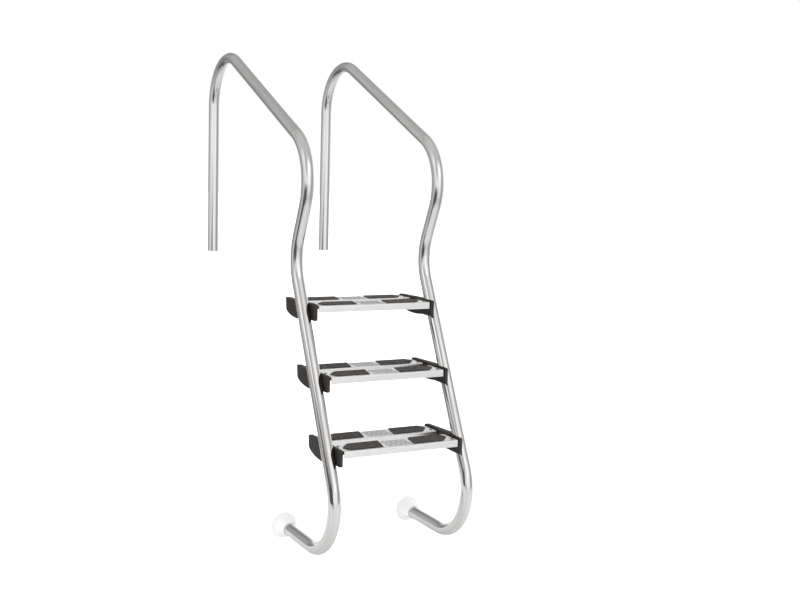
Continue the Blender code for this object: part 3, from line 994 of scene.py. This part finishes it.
ahead = Vector((sin(YAW) * cos(PITCH), cos(YAW) * cos(PITCH), -sin(PITCH)))
level = ahead.cross(Vector((0, 0, 1))).normalized()
upright = level.cross(ahead)
right = level * cos(ROLL) + upright * sin(ROLL)
up = upright * cos(ROLL) - level * sin(ROLL)
camera_data = bpy.data.cameras.new("camera")
camera_data.lens = LENS
camera_data.sensor_width = SENSOR_WIDTH
camera_data.clip_end = 200
camera = bpy.data.objects.new("camera", camera_data)
turned = Matrix((right, up, -ahead)).transposed().to_4x4()
camera.matrix_world = Matrix.Translation(CAMERA_AT) @ turned
SCENE.collection.objects.link(camera)
SCENE.camera = camera


# ---------------------------------------------------------------- floor and light

def stage_piece(name, owner, points, faces):
    """A plain stage mesh with one finish."""
    mesh = bpy.data.meshes.new(name)
    mesh.from_pydata(points.reshape(-1, 3), [], faces)
    mesh.materials.append(owner)
    piece = bpy.data.objects.new(name, mesh)
    SCENE.collection.objects.link(piece)
    return piece


def stage_disc(name, owner, radii, level_z):
    """A flat disc of rings about the frame's upright axis, facing up."""
    steps = 64
    turn, radius = np.arange(steps) * 2 * pi / steps, np.array(radii)[:, None]
    points = stack(radius * np.cos(turn), radius * np.sin(turn), level_z)
    number = np.arange(len(radii) * steps).reshape(-1, steps)
    number = np.hstack([number, number[:, :1]])
    quads = np.stack([number[:-1, :-1], number[1:, :-1], number[1:, 1:], number[:-1, 1:]], -1)
    return stage_piece(name, owner, points, quads.reshape(-1, 4).tolist())


def make_floor():
    """A plain pale floor, and two things that only the steel mirrors: a pale sheet on the floor
    that clears away from the feet, and a low dark card with soft edges, out to the left."""
    f = finish("pale_floor")
    mottle = f.noise(f.place(), 3.0, 3.0)
    f.shade(
        Base_Color=f.blend(mottle, (0.94, 0.94, 0.94), (0.955, 0.955, 0.955)),
        Emission_Color=(1.0, 1.0, 1.0),
        Emission_Strength=0.2,
        Roughness=0.9,
        Specular_IOR_Level=0.1,
    )
    level_z = cad_box[0][2] - 0.004
    floor = stage_disc("floor", f.owner, (0.001, 2, 6, 20, 60), level_z)
    floor.visible_glossy = False
    greyer = finish("grey_paper")
    east, north, _ = greyer.parts(greyer.place())
    away = (east * east + (north + 1.1) * (north + 1.1)) ** 0.5
    greyer.fade(
        away.between(0.7, 2.4), Base_Color=(0.63, 0.63, 0.63), Roughness=0.9, Specular_IOR_Level=0.1
    )
    sheet = stage_disc("floor_sheet", greyer.owner, (0.001, 0.8, 3.2), level_z + 0.0005)
    card_finish = finish("dark_card")
    _, deep, tall = card_finish.parts(card_finish.place())
    across = (1 - ((deep + 1.80) / 1.05) ** 2).between(0.0, 0.6)
    upright = 1 - tall.between(-0.35, 0.50)
    card_finish.fade(1 - across * upright, Base_Color=(0.055, 0.053, 0.051), Roughness=0.9)
    corners = stack(-1.6, np.array([[-2.85], [-0.75]]), np.array([level_z, 0.55]))
    card = stage_piece("low_card", card_finish.owner, corners, [(0, 1, 3, 2)])
    for unseen in (sheet, card):
        unseen.visible_camera = unseen.visible_diffuse = unseen.visible_shadow = False


# Brightness of the studio by direction: each ring has a height in degrees above the horizon, then
# (bearing, brightness) pairs. Bearing 0 is behind the camera and 90 is to its right.
STUDIO_RINGS = (
    (
        -60,
        (
            (-180, 0.80), (-150, 0.60), (-100, 0.40), (-30, 0.35), (30, 0.50), (90, 0.45),
            (150, 0.75),
        ),
    ),
    (
        -34,
        (
            (-180, 0.90), (-156, 0.55), (-142, 0.12), (-112, 0.12), (-96, 0.45), (-50, 0.50),
            (-25, 0.22), (-5, 0.35), (30, 0.70), (90, 0.42), (150, 0.85),
        ),
    ),
    (
        -14,
        (
            (-180, 1.15), (-160, 0.95), (-148, 0.45), (-132, 0.22), (-110, 0.28), (-98, 0.45),
            (-85, 0.65), (-60, 0.70), (-44, 0.50), (-32, 0.22), (-25, 0.05), (-16, 0.05),
            (-7, 0.32), (6, 0.78), (21, 0.95), (38, 0.95), (52, 0.80), (72, 0.52), (95, 0.38),
            (122, 0.70), (140, 0.95), (160, 1.15),
        ),
    ),
    (
        1,
        (
            (-180, 1.15), (-160, 0.80), (-147, 0.33), (-132, 0.26), (-122, 0.42), (-114, 0.66),
            (-104, 0.40), (-92, 0.42), (-78, 0.74), (-60, 0.80), (-40, 1.05), (-8, 1.0), (26, 1.15),
            (42, 1.15), (55, 0.95), (72, 0.55), (88, 0.33), (97, 0.42), (112, 0.56), (124, 0.85),
            (150, 1.1),
        ),
    ),
    (
        30,
        (
            (-180, 0.40), (-168, 0.34), (-160, 0.17), (-152, 0.30), (-125, 0.46), (-110, 0.62),
            (-101, 0.50), (-92, 0.78), (-84, 0.58), (-76, 0.88), (-64, 0.80), (-52, 1.30),
            (-42, 1.25), (-30, 0.85), (-22, 0.36), (-14, 0.42), (-5, 0.80), (4, 0.62),
            (16, 1.10), (30, 1.50), (52, 1.30), (72, 0.85), (90, 0.52), (105, 0.36),
            (125, 0.55), (150, 0.55),
        ),
    ),
    (
        55,
        (
            (-180, 0.44), (-140, 0.50), (-110, 0.54), (-80, 0.66), (0, 0.64), (90, 0.62),
            (135, 0.52),
        ),
    ),
    (88, ((-180, 0.64), (0, 0.64))),
)
BRIGHTEST = 1.5
FILL = 1.5


def make_surroundings():
    """A pale studio all round, with bright panels and greyer gaps between them by direction.

    Polished steel mirrors the rings. Everything else is lit evenly, and the ground behind is white.
    """
    world = bpy.data.worlds.new("studio")
    SCENE.world = world
    f = Finish(world)
    way = f.node("ShaderNodeTexCoord", output=0)
    about_z = {"rotation_type": "Z_AXIS"}
    turned = f.node("ShaderNodeVectorRotate", about_z, {"Vector": way, "Angle": YAW})
    x, y, z = f.parts(turned)
    place = x.math("ARCTAN2", x, 0 - y) / (2 * pi) + 0.5
    tone, below = None, None
    for height, pairs in STUDIO_RINGS:
        closed = (*pairs, (180, pairs[0][1]))
        stops = [(b / 360 + 0.5, (v / BRIGHTEST,) * 3) for b, v in closed]
        ring = f.node("ShaderNodeValToRGB", {"stops": stops}, {0: place})
        if tone is None:
            tone = ring
        else:
            share = z.between(sin(radians(below)), sin(radians(height)))
            tone = f.blend(share, tone, ring)
        below = height
    mirrored = f.node("ShaderNodeLightPath", output=3)
    seen = f.node("ShaderNodeLightPath", output=0)
    tone = f.blend(mirrored, (FILL / BRIGHTEST,) * 3, tone)
    tone = f.blend(seen, tone, (1 / BRIGHTEST,) * 3)
    background = f.tree.nodes["Background"]
    f.join(background.inputs["Color"], tone)
    background.inputs["Strength"].default_value = BRIGHTEST


make_floor()
make_surroundings()


SCENE.view_settings.view_transform = "Standard"
